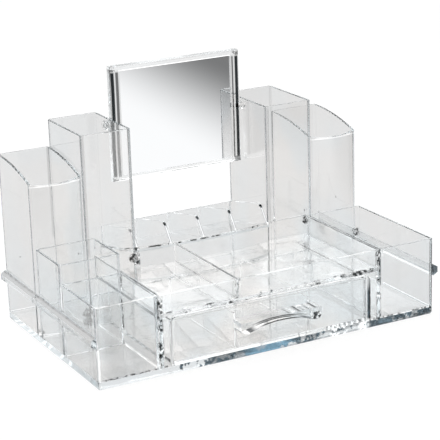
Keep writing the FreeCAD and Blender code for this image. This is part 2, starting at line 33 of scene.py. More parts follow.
MM = 0.001               # a millimetre in the scene's metres
HAIR = 0.0002            # half the fade at the border of a thin mark


class Link:
    """One output socket; sums and products of links and numbers add their Math nodes."""

    def __init__(self, tree, socket):
        self.tree = tree
        self.socket = socket

    def node(self, kind, settings=None, inputs=None, output=0):
        """A new node in this link's tree: its settings first, then the values or links of its sockets."""
        return add_node(self.tree, kind, settings, inputs, output)

    def _math(self, operation, first, second):
        return self.node("ShaderNodeMath", {"operation": operation}, {0: first, 1: second})

    def __add__(self, other):
        return self._math("ADD", self, other)

    def __radd__(self, other):
        return self._math("ADD", other, self)

    def __sub__(self, other):
        return self._math("SUBTRACT", self, other)

    def __rsub__(self, other):
        return self._math("SUBTRACT", other, self)

    def __mul__(self, other):
        return self._math("MULTIPLY", self, other)

    def __rmul__(self, other):
        return self._math("MULTIPLY", other, self)

    def larger(self, other):
        return self._math("MAXIMUM", self, other)

    def distance(self):
        """How far this value is from zero."""
        return self.larger(self * -1)

    def squared(self):
        return self * self

    def ramp(self, low, high, at_low=0.0, at_high=1.0):
        """Goes smoothly from at_low to at_high while this value goes from low to high."""
        sockets = {"Value": self, "From Min": low, "From Max": high, "To Min": at_low, "To Max": at_high}
        return self.node("ShaderNodeMapRange", {"interpolation_type": "SMOOTHSTEP", "clamp": True}, sockets)

    def falls(self, low, high):
        """One under low, nothing over high."""
        return self.ramp(low, high, 1.0, 0.0)

    def within(self, low, high, soft=HAIR):
        """One between low and high, with soft ends."""
        return self.ramp(low - soft, low + soft) * self.falls(high - soft, high + soft)


def add_node(tree, kind, settings=None, inputs=None, output=0):
    """A new node and its output; a kind without outputs gives None."""
    node = tree.nodes.new(kind)
    for name, value in (settings or {}).items():
        setattr(node, name, value)
    for name, value in (inputs or {}).items():
        if isinstance(value, Link):
            tree.links.new(value.socket, node.inputs[name])
        else:
            node.inputs[name].default_value = value
    return Link(tree, node.outputs[output]) if len(node.outputs) else None


def axes_of(vector):
    """The three numbers of a vector link: across, away and upward for a place."""
    split = vector.node("ShaderNodeSeparateXYZ", None, {0: vector})
    return [Link(vector.tree, output) for output in split.socket.node.outputs]


def object_place(tree):
    """The Object coordinates of the Texture Coordinate node."""
    return add_node(tree, "ShaderNodeTexCoord", output=3)


def mixed(factor, low, high):
    """A colour between two, by a link's value."""
    sockets = {0: factor, 6: low, 7: high}
    return factor.node("ShaderNodeMix", {"data_type": "RGBA", "clamp_factor": False}, sockets, 2)


def noise(place, scale, detail, roughness):
    """Soft random values over a place, about 0.5 on average."""
    sockets = {"Vector": place, "Scale": scale, "Detail": detail, "Roughness": roughness}
    return place.node("ShaderNodeTexNoise", None, sockets)


def empty_tree(owner):
    """The node tree of a material or world, with nothing in it."""
    owner.use_nodes = True
    owner.node_tree.nodes.clear()
    return owner.node_tree


def new_material(name):
    """A new material and its node tree, still empty."""
    material = bpy.data.materials.new(name)
    return material, empty_tree(material)


# ---------------------------------------------------------------- camera

FRAME_PIXELS = 440
FOCAL_PIXELS = 1671
SENSOR_MM = 36
CAMERA_PLACE = Vector((-0.6385, -1.2235, 0.5192))
LOOK = Vector((0.44369, 0.84524, -0.29784))
ROLL = math.radians(-1.88)
NEAREST_SEEN = 0.05
FURTHEST_SEEN = 50


def place_camera():
    """Sets the camera up at its place, along LOOK and rolled a little."""
    camera = bpy.data.objects.new("camera", bpy.data.cameras.new("camera"))
    scene.collection.objects.link(camera)
    right = LOOK.cross(Vector((0, 0, 1))).normalized()
    up = right.cross(LOOK).normalized()
    turned_right = right * math.cos(ROLL) + up * math.sin(ROLL)
    turned_up = up * math.cos(ROLL) - right * math.sin(ROLL)
    turn = Matrix((turned_right, turned_up, -LOOK.normalized())).transposed()
    camera.matrix_world = Matrix.Translation(CAMERA_PLACE) @ turn.to_4x4()
    camera.data.sensor_width = SENSOR_MM
    camera.data.sensor_fit = "HORIZONTAL"
    camera.data.lens = FOCAL_PIXELS * SENSOR_MM / FRAME_PIXELS
    camera.data.clip_start = NEAREST_SEEN
    camera.data.clip_end = FURTHEST_SEEN
    scene.camera = camera


place_camera()

# ---------------------------------------------------------------- room

WHITE = (1, 1, 1, 1)
BLACK = (0, 0, 0, 1)
DARK_BLUE = (0.02, 0.03, 0.04, 1)
# Soft boxes of the room: direction in radians from straight behind, half width, lowest and highest
# edge, brightness.
SOFT_BOXES = (
    (0.42, 0.50, 0.12, 1.05, 1.4),
    (-0.75, 0.20, 0.08, 1.00, 1.5),
    (-1.60, 0.16, 0.15, 0.80, 1.3),
    (-2.45, 0.22, 0.10, 0.90, 1.5),
    (2.66, 0.24, 0.12, 0.85, 1.5),
    (1.75, 0.10, 0.20, 0.80, 1.2),
)
BOX_FADE = 0.05                      # half the fade at a box's border, in radians
SKIRTING = (-0.02, 0.09, 0.5, 0.0)   # the glow low round the room: where it fades, and from what brightness
CEILING_EDGE = (1.1, 1.25)           # where the lit ceiling begins, in radians above the horizon
CEILING = 1.6


def studio_world():
    """A dark room with soft boxes round about and overhead; the camera sees only white."""
    world = bpy.data.worlds.new("studio")
    scene.world = world
    tree = empty_tree(world)
    direction = add_node(tree, "ShaderNodeTexCoord", output=0)
    across, away, upward = axes_of(direction)
    turn = direction.node("ShaderNodeMath", {"operation": "ARCTAN2"}, {0: across, 1: away})
    rise = direction.node("ShaderNodeMath", {"operation": "ARCSINE"}, {0: upward})
    glow = rise.ramp(*SKIRTING).larger(rise.ramp(*CEILING_EDGE) * CEILING)
    for middle, half_width, lowest, highest, brightness in SOFT_BOXES:
        aside = (turn - middle).larger(middle - turn)
        box = aside.ramp(half_width - BOX_FADE, half_width + BOX_FADE, brightness, 0.0)
        box = box * rise.ramp(lowest - BOX_FADE, lowest + BOX_FADE)
        glow = glow.larger(box * rise.falls(highest - BOX_FADE, highest + BOX_FADE))
    camera = add_node(tree, "ShaderNodeLightPath", output=0)
    colour = mixed(camera, mixed(glow, DARK_BLUE, WHITE), WHITE)
    shade = add_node(tree, "ShaderNodeBackground", None, {"Color": colour})
    add_node(tree, "ShaderNodeOutputWorld", None, {"Surface": shade})


# ---------------------------------------------------------------- floor and lamps

FLOOR_SIZE = 16
FLOOR_DROP = 0.0002      # the floor lies this far under the base plate
FLOOR_WHITE = (0.9, 0.9, 0.9, 1)
# The sweep's glow in glass and mirror is painted light and shade: grey round the object, a lit end in front,
# dark at the sides and a shadow under it.
SWEEP_GREY = 0.72        # the sweep around the object, as clear walls show it
FRONT_WHITE = 1.0        # the painted lit end of the sweep, which the mirror shows
ROOM_DARK = 0.12
UNDER_PAINTED_SHADOW = 0.1        # how much painted shadow the sweep gets under the object
SWEEP_GLOW = 1.06        # brightness of white on the sweep
SWEEP_SHARE = 0.88       # share of the sweep's own glow beside the matt floor
FRONT_FADE = (0.2, 0.43)                     # where the lit end fades, from the middle outwards
FRONT_SLANT = 0.1                            # how much the fade moves out with the distance in front
FRONT_LEFT = (-0.14, -0.04, 0.15, 1.0)       # the lit end's left border
SIDE_FADE = (0.26, 0.55)                     # where the sweep fades at its sides
SIDE_SLANT = 0.75                            # how much wider the sweep is behind the object
UNDER_SIDE = (0.13, 0.19)                    # where the painted shadow under the object ends at its sides
UNDER_DEPTH = (0.07, 0.13)                   # and where it ends in front and behind
AHEAD = (-0.32, -0.22)                       # where the lit end begins


def sweep_brightness(place):
    """The sweep's painted light and shade: it runs into the dark of the room at its sides, has a lit end in
    front and a shadow under the object.
    """
    across, away, _ = axes_of(place)
    outward = across.distance()
    front = (outward + away * FRONT_SLANT).ramp(*FRONT_FADE, FRONT_WHITE, ROOM_DARK)
    front = front * across.ramp(*FRONT_LEFT)
    around = (outward - away.larger(0) * SIDE_SLANT).ramp(*SIDE_FADE, SWEEP_GREY, ROOM_DARK)
    under = outward.ramp(*UNDER_SIDE, UNDER_PAINTED_SHADOW, 0.0) * away.distance().falls(*UNDER_DEPTH)
    ahead = away.falls(*AHEAD)
    return (front * ahead + around * (1 - ahead)) * (1 - under)


def studio_floor():
    """A pale floor: white to the camera, with the sweep's painted light and shade in glass and mirror, a real
    soft shadow in its matt share.
    """
    bpy.ops.mesh.primitive_plane_add(size=FLOOR_SIZE, location=(0, 0, -FLOOR_DROP))
    floor = bpy.context.object
    floor.name = "floor"
    material, tree = new_material("floor_sweep")
    path = tree.nodes.new("ShaderNodeLightPath")
    camera = Link(tree, path.outputs["Is Camera Ray"])
    glossy = Link(tree, path.outputs["Is Glossy Ray"])
    through = Link(tree, path.outputs["Is Transmission Ray"])
    brightness = camera.larger(sweep_brightness(object_place(tree))) * SWEEP_GLOW
    matt = add_node(tree, "ShaderNodeBsdfDiffuse", None, {"Color": FLOOR_WHITE})
    lit = add_node(tree, "ShaderNodeEmission", None, {"Color": WHITE, "Strength": brightness})
    share = camera.larger(glossy).larger(through) * SWEEP_SHARE
    mix = add_node(tree, "ShaderNodeMixShader", None, {0: share, 1: matt, 2: lit})
    add_node(tree, "ShaderNodeOutputMaterial", None, {"Surface": mix})
    floor.data.materials.append(material)


def soft_lamp(name, place, aim, width, height, power):
    """A rectangular lamp that shines towards its aim."""
    lamp = bpy.data.lights.new(name, "AREA")
    lamp.shape = "RECTANGLE"
    lamp.size = width
    lamp.size_y = height
    lamp.energy = power
    lamp_object = bpy.data.objects.new(name, lamp)
    scene.collection.objects.link(lamp_object)
    lamp_object.location = place
    lamp_object.rotation_euler = (Vector(aim) - Vector(place)).to_track_quat("-Z", "Y").to_euler()


studio_world()
studio_floor()
soft_lamp("overhead_box", place=(0.1, 0.2, 1.6), aim=(0, 0, 0.05), width=1.4, height=1.0, power=10)
soft_lamp("left_box", place=(-1.5, 0.1, 0.9), aim=(0, 0, 0.1), width=0.7, height=1.2, power=7)

# ---------------------------------------------------------------- borders of the pieces

LOW, HIGH = range(2)
ACROSS, AWAY, UPWARD = range(3)

CASE_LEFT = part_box("base_plate")[LOW][ACROSS]
CASE_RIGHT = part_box("base_plate")[HIGH][ACROSS]
CASE_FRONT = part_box("base_plate")[LOW][AWAY]
PLATE_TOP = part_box("base_plate")[HIGH][UPWARD]
BIN_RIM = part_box("left_front_bin")[HIGH][UPWARD]
BIN_INNER_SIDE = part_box("left_front_bin")[HIGH][ACROSS]
BIN_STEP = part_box("left_middle_bin")[LOW][AWAY]          # where the taller left bin begins
DECK_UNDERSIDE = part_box("deck_tray")[LOW][UPWARD]
RACK_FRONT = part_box("rack_floor")[LOW][AWAY]
TALL_TOWER_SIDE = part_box("right_inner_tower")[HIGH][ACROSS]
FIN_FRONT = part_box("rack_fin_1")[LOW][AWAY]
FIN_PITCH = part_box("rack_fin_2")[LOW][ACROSS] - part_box("rack_fin_1")[LOW][ACROSS]
DRAWER_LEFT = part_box("drawer_front")[LOW][ACROSS]
DRAWER_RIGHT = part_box("drawer_front")[HIGH][ACROSS]
PULL_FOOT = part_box("drawer_pull")[LOW][UPWARD]
RAIL_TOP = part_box("left_side_rail")[HIGH][UPWARD]
FRAME_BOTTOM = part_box("mirror_frame")[LOW][UPWARD]
FRAME_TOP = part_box("mirror_frame")[HIGH][UPWARD]
SILVER_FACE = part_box("mirror_plate")[LOW][AWAY]

# ---------------------------------------------------------------- marks by place

# Patches, dashes and flecks, most of them of painted shade and highlights: the scale of their noise, the
# level where they begin and where they are full.

LINE_FADE = 0.3 * MM
UPRIGHT_FADE = 2 * MM    # half the fade at both ends of an upright line
FRONT_WALL = (CASE_FRONT + 3 * MM, CASE_FRONT + 4 * MM)
PATCH_DETAIL = 3.0
PATCH_ROUGHNESS = 0.6


def patchy(place, scale, none, full):
    """Patches: nothing where the noise is below none, full where it is above full."""
    return noise(place, scale, PATCH_DETAIL, PATCH_ROUGHNESS).ramp(none, full)


def near(axes, centre, inner, outer):
    """One round a point, or round an upright line where the centre has no height, with a soft border."""
    apart = (axes[ACROSS] - centre[ACROSS]).squared() + (axes[AWAY] - centre[AWAY]).squared()
    if len(centre) > UPWARD:
        apart = apart + (axes[UPWARD] - centre[UPWARD]).squared()
    return apart.falls(inner * inner, outer * outer)


def front_wall(away):
    """One on the walls at the front of the case."""
    return away.falls(*FRONT_WALL)


# Glued seams with uneven edges, painted with dark flecks and highlights: place across, place in depth, lowest
# level.
SEAMS = (
    (-0.1036, -0.0958, PLATE_TOP),
    (0.1036, -0.0958, PLATE_TOP),
    (-0.1045, -0.0290, PLATE_TOP),
    (-0.0660, 0.0245, 0.054),
    (0.1040, 0.0232, 0.062),
    (-0.0322, -0.0955, 0.050),
    (-0.1598, 0.0225, PLATE_TOP),
)
SEAM_REACH = (0.0018, 0.0030)
SEAM_END = (BIN_RIM + 0.5 * MM, BIN_RIM + 2.5 * MM)
SEAM_PATCHES = (75.0, 0.46, 0.52)
DECK_JOINT = (DECK_UNDERSIDE - 0.5 * MM, DECK_UNDERSIDE + 3.5 * MM)
DECK_JOINT_DEPTH = (CASE_FRONT + 2.5 * MM, CASE_FRONT + 4 * MM)
DECK_JOINT_ENDS = (-0.10, 0.10)
DECK_PATCHES = (42.0, 0.50, 0.55)


def seam_chips_and_painted_flecks(place):
    """Where glue and polish leave an edge uneven, and where painted dark flecks and highlights go: along the
    upright seams and the deck's front joint.
    """
    axes = axes_of(place)
    across, away, upward = axes
    joint = upward.within(*DECK_JOINT) * away.falls(*DECK_JOINT_DEPTH) * across.within(*DECK_JOINT_ENDS, MM)
    chips_and_painted_flecks = joint * patchy(place, *DECK_PATCHES)
    for seam_across, seam_away, lowest in SEAMS:
        seam = near(axes, (seam_across, seam_away), *SEAM_REACH)
        chips_and_painted_flecks = chips_and_painted_flecks.larger(seam * upward.ramp(lowest - MM, lowest))
    return chips_and_painted_flecks * upward.falls(*SEAM_END) * patchy(place, *SEAM_PATCHES)


# ---------------------------------------------------------------- the case's painted shade and highlights

RACK_BOW = 1.64                              # how far the rack's front edge bows, per square metre across
RACK_JOINT_DEPTH = (-0.0006, 0.0008)         # from the rack's front edge
RACK_JOINT = (0.0678, 0.0696)
RACK_DASHES = (160.0, 0.52, 0.56)
PLATE_JOINT = (PLATE_TOP - 0.6 * MM, PLATE_TOP + MM)
PLATE_JOINT_DEPTH = (CASE_FRONT + 3.5 * MM, CASE_FRONT + 4.5 * MM)
PLATE_DASHES = (260.0, 0.53, 0.57)
PLATE_JOINT_DARK = 0.97
# Painted shade at the right front corner.
RIGHT_CORNER = (CASE_RIGHT - 3 * MM, CASE_RIGHT - 2 * MM)
RIGHT_CORNER_HEIGHT = (0.010, 0.066)
RIGHT_CORNER_DARK = 0.96
# The towers' upright corners, which get painted shade: distance from the middle plane and place in depth.
TOWER_CORNERS = ((0.1590, 0.0235), (0.1121, 0.0245), (0.0665, 0.0255), (0.1121, 0.0955))
TOWER_CORNER_REACH = (0.0020, 0.0034)
TOWER_CORNER_START = (0.066, 0.072)
TOWER_CORNER_DARK = (-0.01, 0.01, 0.28, 0.18)     # painted shade, darker on the left of the middle than on the right
# Clusters of painted dark flecks of shade at the foot of a tower: the middle across, away and upward, and the
# reach.
DARK_FLECK_CLUSTERS = (
    ((-0.0692, 0.0245, 0.0602), 0.0036),
    ((0.1040, 0.0232, 0.0650), 0.0034),
    ((0.1585, 0.0232, 0.0440), 0.0040),
    ((-0.1598, 0.0225, 0.0105), 0.0042),
    ((-0.1150, 0.0235, 0.0200), 0.0040),
    ((-0.1150, 0.0235, 0.0120), 0.0040),
)
FLECK_FADE = 1.3         # the reach at which the last flecks end, as a multiple
DARK_FLECK_GRAIN = (460.0, 0.49, 0.52)
DARK_FLECK_SHARE = 0.98


def case_lines(place):
    """Dark dashes along the rack's front and the plate's joint; painted shade at the corners; painted dark
    flecks at the towers' feet.
    """
    axes = axes_of(place)
    across, away, upward = axes
    outward = across.distance()
    from_bow = away - RACK_FRONT - across.squared() * RACK_BOW
    rack = from_bow.within(*RACK_JOINT_DEPTH) * upward.within(*RACK_JOINT) * patchy(place, *RACK_DASHES)
    joint = upward.within(*PLATE_JOINT) * away.falls(*PLATE_JOINT_DEPTH) * patchy(place, *PLATE_DASHES)
    corner = across.ramp(*RIGHT_CORNER) * front_wall(away) * upward.within(*RIGHT_CORNER_HEIGHT, UPRIGHT_FADE)
    lines = rack.larger(joint * PLATE_JOINT_DARK).larger(corner * RIGHT_CORNER_DARK)
    for tower_corner in TOWER_CORNERS:
        shade = near((outward, away), tower_corner, *TOWER_CORNER_REACH) * across.ramp(*TOWER_CORNER_DARK)
        lines = lines.larger(shade * upward.ramp(*TOWER_CORNER_START))
    for middle, reach in DARK_FLECK_CLUSTERS:
        flecks = near(axes, middle, reach, reach * FLECK_FADE) * patchy(place, *DARK_FLECK_GRAIN)
        lines = lines.larger(flecks * DARK_FLECK_SHARE)
    return lines


# Where the painted highlights on the rims, the left bins' corners and foot lie, and their strength.
LOW_RIM_START = (BIN_RIM - 0.6 * MM, BIN_RIM - 0.3 * MM)
LOW_RIM_END = (BIN_RIM + 0.5 * MM, BIN_RIM + 0.9 * MM)
LOW_RIM_RIGHT = (0.100, 0.104)
RIM_PATCHES = (20.0, 0.40, 0.60)
TOWER_RIM = (0.1371, 0.1376)
TOWER_RIM_DEPTH = (0.0275, 0.0285)
TOWER_RIM_SIDE = (TALL_TOWER_SIDE + 0.5 * MM, TALL_TOWER_SIDE + MM)
BIN_CORNER_REACH = (0.0012, 0.0020)
STEP_CORNER = (CASE_LEFT + 0.8 * MM, BIN_STEP)
STEP_CORNER_HEIGHT = (0.048, 0.067)
FRONT_CORNER = (CASE_LEFT + 0.8 * MM, CASE_FRONT + 0.8 * MM)
FRONT_CORNER_HEIGHT = (0.008, 0.034)
BIN_FOOT = (BIN_INNER_SIDE - 1.6 * MM, BIN_INNER_SIDE)
BIN_FOOT_HEIGHT = (PLATE_TOP, PLATE_TOP + 1.8 * MM)
BIN_FOOT_END = (BIN_STEP - MM, BIN_STEP + MM)
RIM_LIGHT = 0.4


def painted_rim_highlights(place):
    """Painted highlights on the front rims of bins, deck and short towers, and on the left bins' corners and
    foot.
    """
    axes = axes_of(place)
    across, away, upward = axes
    low_rim = upward.ramp(*LOW_RIM_START) * upward.falls(*LOW_RIM_END) * front_wall(away)
    low_rim = low_rim * across.falls(*LOW_RIM_RIGHT) * patchy(place, *RIM_PATCHES)
    tower_rim = upward.within(*TOWER_RIM) * away.falls(*TOWER_RIM_DEPTH)
    tower_rim = tower_rim * across.distance().ramp(*TOWER_RIM_SIDE)
    step = near(axes, STEP_CORNER, *BIN_CORNER_REACH) * upward.within(*STEP_CORNER_HEIGHT, UPRIGHT_FADE)
    front = near(axes, FRONT_CORNER, *BIN_CORNER_REACH) * upward.within(*FRONT_CORNER_HEIGHT, UPRIGHT_FADE)
    foot = across.within(*BIN_FOOT) * upward.within(*BIN_FOOT_HEIGHT) * away.falls(*BIN_FOOT_END)
    return low_rim.larger(tower_rim).larger(step).larger(front).larger(foot) * RIM_LIGHT


# ---------------------------------------------------------------- the base plate's front edge

EDGE_DEPTH = (CASE_FRONT + 0.4 * MM, CASE_FRONT + 1.6 * MM)
EDGE_START = (-0.064, -0.058)                # painted shade from here on
SPECK_START = (-0.10, -0.09)
EDGE_SPECKS = (170.0, 0.54, 0.57)
# Two stretches of painted bright flecks on the front edge.
BRIGHT_PLACES = ((0.056, 0.070), (0.084, 0.092))
BRIGHT_FADE = 3 * MM
BRIGHT_FLECK_GRAIN = (150.0, 0.44, 0.48)
EDGE_BREAKS = (130.0, 0.50, 0.58)
BREAK_SHARE = (-0.030, 0.020, 0.12, 0.45)    # how much the breaks take away, which grows to the right
# Painted shade on the plate's top under the left bins.
UNDER_BINS_HEIGHT = (PLATE_TOP - 0.8 * MM, PLATE_TOP - 0.4 * MM)
UNDER_BINS_END = (BIN_INNER_SIDE - MM, BIN_INNER_SIDE + 2 * MM)
UNDER_BINS_PATCHES = (38.0, 0.38, 0.62)
UNDER_BINS_DARK = 0.22
BLUE_STRETCH = (-0.022, 0.010)
BLUE_FADE = 0.012
# Painted highlights on the front edge's clear stretch, its bright flecks and the plate's left side.
CLEAR_LIGHT = 0.14
BRIGHT_FLECK_LIGHT = 0.6
LEFT_SIDE_LIGHT = (CASE_LEFT + 0.4 * MM, CASE_LEFT + 1.2 * MM, 0.22, 0.0)


def front_face(away):
    """One on the base plate's front edge."""
    return away.falls(*EDGE_DEPTH)


def edge_begins(place, across):
    """Where painted shade darkens the base plate's front edge: full from the drawer's left on, specks before
    it.
    """
    return across.ramp(*EDGE_START).larger(across.ramp(*SPECK_START) * patchy(place, *EDGE_SPECKS))


def edge_joints(place, across):
    """Painted bright flecks at two places of the base plate's front edge."""
    left, right = (across.within(*ends, BRIGHT_FADE) for ends in BRIGHT_PLACES)
    return (left + right) * patchy(place, *BRIGHT_FLECK_GRAIN)


def plate_edge(place):
    """Painted shade: the base plate's front edge, clear at its left and dark from the bay on, and grey under
    the bins.
    """
    across, away, upward = axes_of(place)
    breaks = patchy(place, *EDGE_BREAKS) * across.ramp(*BREAK_SHARE)
    deep = edge_begins(place, across) * (1 - breaks)
    under_bins = upward.ramp(*UNDER_BINS_HEIGHT) * across.falls(*UNDER_BINS_END)
    under_bins = under_bins * patchy(place, *UNDER_BINS_PATCHES) * UNDER_BINS_DARK
    return (front_face(away) * deep * (1 - edge_joints(place, across))).larger(under_bins)


def plate_tint(place):
    """The tint of the painted shade on the base plate's front edge: near black, sky blue for a stretch left
    of the middle.
    """
    return mixed(axes_of(place)[ACROSS].within(*BLUE_STRETCH, BLUE_FADE), EDGE_BLUE, SKY_BLUE)


def plate_light(place):
    """Painted highlights on the front edge's clear stretch and bright flecks, and on the base plate's left
    side.
    """
    across, away, _ = axes_of(place)
    clear = (1 - edge_begins(place, across)) * CLEAR_LIGHT
    flecks = edge_joints(place, across) * BRIGHT_FLECK_LIGHT
    return (front_face(away) * clear.larger(flecks)).larger(across.ramp(*LEFT_SIDE_LIGHT))


# ---------------------------------------------------------------- the mirror frame's bull nose

WANDER = 0.0012                      # how far the painted dark lines wander to and fro
WANDER_NOISE = (18.0, 1.0, 0.4)
FRAME_HEIGHT = (FRAME_BOTTOM + 4 * MM, FRAME_TOP - 4.5 * MM)
LEFT_NOSE = (0.0601, 0.0629)
RIGHT_NOSE = (0.0584, 0.0618)
LEFT_INNER = (0.0560, 0.0588)
RIGHT_INNER = (0.0553, 0.0568)
LEFT_INNER_FADE = 0.4 * MM
INNER_DARK = 0.97
FACING = (0.0700, 0.0705)
OUTLINE_SIDE = (0.0635, 0.0640)
OUTLINE_DEPTH = (0.0722, 0.0738)
OUTLINE_DARK = 0.9
CORNER_SIDE = (0.0585, 0.0595)
CORNER_FLECK_GRAIN = (220.0, 0.47, 0.51)
CORNER_DARK = 0.95
# Where the painted highlights on the frame's ends and outer sides lie.
ENDS_INNER = (FRAME_BOTTOM + 5 * MM, FRAME_TOP - 5 * MM)
ENDS_OUTER = (FRAME_BOTTOM + MM, FRAME_TOP - 0.8 * MM)
ENDS_FADE = 0.6 * MM
ENDS_LIGHT = 0.06
BOSS_HEIGHT = (0.1620, 0.1750)
BOSS_FADE = 0.5 * MM
SIDE_LIGHT_START = (0.0632, 0.0636)
SIDE_LIGHT = (0.0715, 0.0720, 0.4, 0.0)


def frame_sides(place):
    """Painted shade: dark lines along the mirror frame's sides, more beside the plate, and dark flecks in its
    corners.
    """
    across, away, upward = axes_of(place)
    wander = noise(place, *WANDER_NOISE)
    right = across + wander * WANDER - WANDER / 2
    left = wander * WANDER - WANDER / 2 - across
    height = upward.within(*FRAME_HEIGHT, MM)
    nose = left.within(*LEFT_NOSE, LINE_FADE).larger(right.within(*RIGHT_NOSE, LINE_FADE))
    inner = left.within(*LEFT_INNER, LEFT_INNER_FADE).larger(right.within(*RIGHT_INNER, LINE_FADE))
    outline = left.ramp(*OUTLINE_SIDE) * away.within(*OUTLINE_DEPTH, LINE_FADE) * OUTLINE_DARK
    corners = left.larger(right).ramp(*CORNER_SIDE) * (1 - height) * patchy(place, *CORNER_FLECK_GRAIN)
    sides = nose.larger(inner * INNER_DARK) * height * away.falls(*FACING)
    return sides.larger(outline).larger(corners * CORNER_DARK)


def frame_light(place):
    """Painted highlights on the mirror frame's ends and its outermost sides."""
    across, away, upward = axes_of(place)
    ends = (1 - upward.within(*ENDS_INNER, ENDS_FADE)) * upward.within(*ENDS_OUTER, LINE_FADE) * ENDS_LIGHT
    beside_boss = 1 - upward.within(*BOSS_HEIGHT, BOSS_FADE)
    sides = across.distance().ramp(*SIDE_LIGHT_START) * away.ramp(*SIDE_LIGHT)
    return ends.larger(sides * beside_boss)


# ---------------------------------------------------------------- painted shade and highlights on pull, fins, drawer front, rails, partition

PULL_ARCH = PULL_FOOT + 5.5 * MM             # height of the upper painted dark line in the middle of the pull
PULL_BOW = 5.05                              # how far it falls to the sides, per square metre across
UPPER_ARCH = (0.0, 1.2 * MM)
UPPER_ARCH_ENDS = (-0.022, 0.018)
UPPER_ARCH_FADE = 6 * MM
SECOND_ARCH = (3 * MM, 3.6 * MM)
SECOND_ARCH_ENDS = (0.006, 0.026)
SECOND_ARCH_FADE = 5 * MM
FOOT_SPOT = (0.0345, 0.0355)
FOOT_SPOT_HEIGHT = (PULL_FOOT + 0.2 * MM, PULL_FOOT + 3 * MM)
FOOT_SPOT_FADE = 0.4 * MM
FIN_LEAN = (0.79, 0.61)                      # cosine and sine of the lean of a fin's front edge
FIN_LEAN_START = 0.0671
# Where the painted highlight on a fin's front edge lies, and the painted shade on its tip.
FIN_EDGE = (0.3 * MM, 0.9 * MM)
FIN_EDGE_TOP = (0.0795, 0.0805)
FIN_EDGE_LIGHT = (0.5 * MM, 0.8 * MM, 0.95, 0.15)
FIN_TIP_HEIGHT = (0.0806, 0.0811)
FIN_TIP_DEPTH = (0.0372, 0.0378)
DRAWER_END = (DRAWER_RIGHT - 1.8 * MM, DRAWER_RIGHT)
DRAWER_END_START = (0.0080, 0.0100)
DRAWER_END_FADE = (0.0330, 0.0430, 1.0, 0.45)
DRAWER_END_LIGHT = (DRAWER_LEFT + MM, DRAWER_LEFT + 1.8 * MM, 0.3, 0.0)
UPPER_RAIL_LINE = (RAIL_TOP - 1.1 * MM, RAIL_TOP - 0.4 * MM)
LOWER_RAIL_LINE = (RAIL_TOP - 8.1 * MM, RAIL_TOP - 7.4 * MM)
RAIL_DASHES = (180.0, 0.54, 0.58)
RAIL_DASH_DARK = 0.5
RAIL_LINE_DARK = 0.25
LOWER_RAIL_DARK = 0.3
RAIL_END_SHADE = (CASE_FRONT + 3 * MM, CASE_FRONT + 7 * MM, 0.97, 0.12)
PARTITION_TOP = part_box("deck_partition")[HIGH][UPWARD]
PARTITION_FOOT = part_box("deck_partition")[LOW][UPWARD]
PARTITION_UPPER_LINE = (PARTITION_TOP - 0.8 * MM, PARTITION_TOP - 0.5 * MM, 0.0, 0.45)
PARTITION_LOWER_LINE = (PARTITION_FOOT + 0.6 * MM, PARTITION_FOOT + 0.9 * MM, 0.35, 0.0)


def pull_lines(place):
    """Painted shade: dark lines along the arch of the pull and a dark spot in its right foot."""
    across, _, upward = axes_of(place)
    above = upward - PULL_ARCH + across.squared() * PULL_BOW
    along = above.within(*UPPER_ARCH, LINE_FADE) * across.within(*UPPER_ARCH_ENDS, UPPER_ARCH_FADE)
    second = above.within(*SECOND_ARCH, LINE_FADE) * across.within(*SECOND_ARCH_ENDS, SECOND_ARCH_FADE)
    spot = across.ramp(*FOOT_SPOT) * upward.within(*FOOT_SPOT_HEIGHT, FOOT_SPOT_FADE)
    return along.larger(second).larger(spot)


def fin_front_highlight(place):
    """A painted highlight for the light that the slanted front edge of the rack's fins pipes."""
    across, away, upward = axes_of(place)
    apart = across.node("ShaderNodeMath", {"operation": "PINGPONG"}, {0: across, 1: FIN_PITCH / 2})
    cosine, sine = FIN_LEAN
    behind = (away - FIN_FRONT) * cosine - (upward - FIN_LEAN_START) * sine
    return behind.falls(*FIN_EDGE) * upward.falls(*FIN_EDGE_TOP) * apart.ramp(*FIN_EDGE_LIGHT)


def fin_tip_shade(place):
    """Painted shade on the round at a fin's top front corner, which looks dark."""
    _, away, upward = axes_of(place)
    return upward.ramp(*FIN_TIP_HEIGHT) * away.falls(*FIN_TIP_DEPTH)


def drawer_end(place):
    """Painted shade at the right end of the drawer's front, a dark upright line."""
    across, _, upward = axes_of(place)
    line = across.within(*DRAWER_END, LINE_FADE)
    return line * upward.ramp(*DRAWER_END_START) * upward.ramp(*DRAWER_END_FADE)


def drawer_end_light(place):
    """A painted highlight at the left end of the drawer's front."""
    return axes_of(place)[ACROSS].ramp(*DRAWER_END_LIGHT)


def rail_lines(place):
    """Painted shade: thin dark lines along a rail's edges, with a few darker dashes on the upper one."""
    upward = axes_of(place)[UPWARD]
    upper = upward.within(*UPPER_RAIL_LINE)
    upper = upper * (upper * patchy(place, *RAIL_DASHES) * RAIL_DASH_DARK + RAIL_LINE_DARK)
    return upper.larger(upward.within(*LOWER_RAIL_LINE) * LOWER_RAIL_DARK)


def right_rail_shade(place):
    """The right rail's painted lines and shade: darker than the left rail, most of all at its front end."""
    return rail_lines(place).larger(axes_of(place)[AWAY].ramp(*RAIL_END_SHADE))


def partition_edges(place):
    """Painted shade: dark lines along the upper and the lower edge of the deck's partition."""
    upward = axes_of(place)[UPWARD]
    return upward.ramp(*PARTITION_UPPER_LINE).larger(upward.ramp(*PARTITION_LOWER_LINE))


# ---------------------------------------------------------------- finishes

WARM_TINT = (1.0, 0.995, 0.990, 1)
COOL_TINT = (0.986, 0.996, 1.0, 1)
DEPTH_COLOUR = (0.1, 0.32, 0.42, 1)
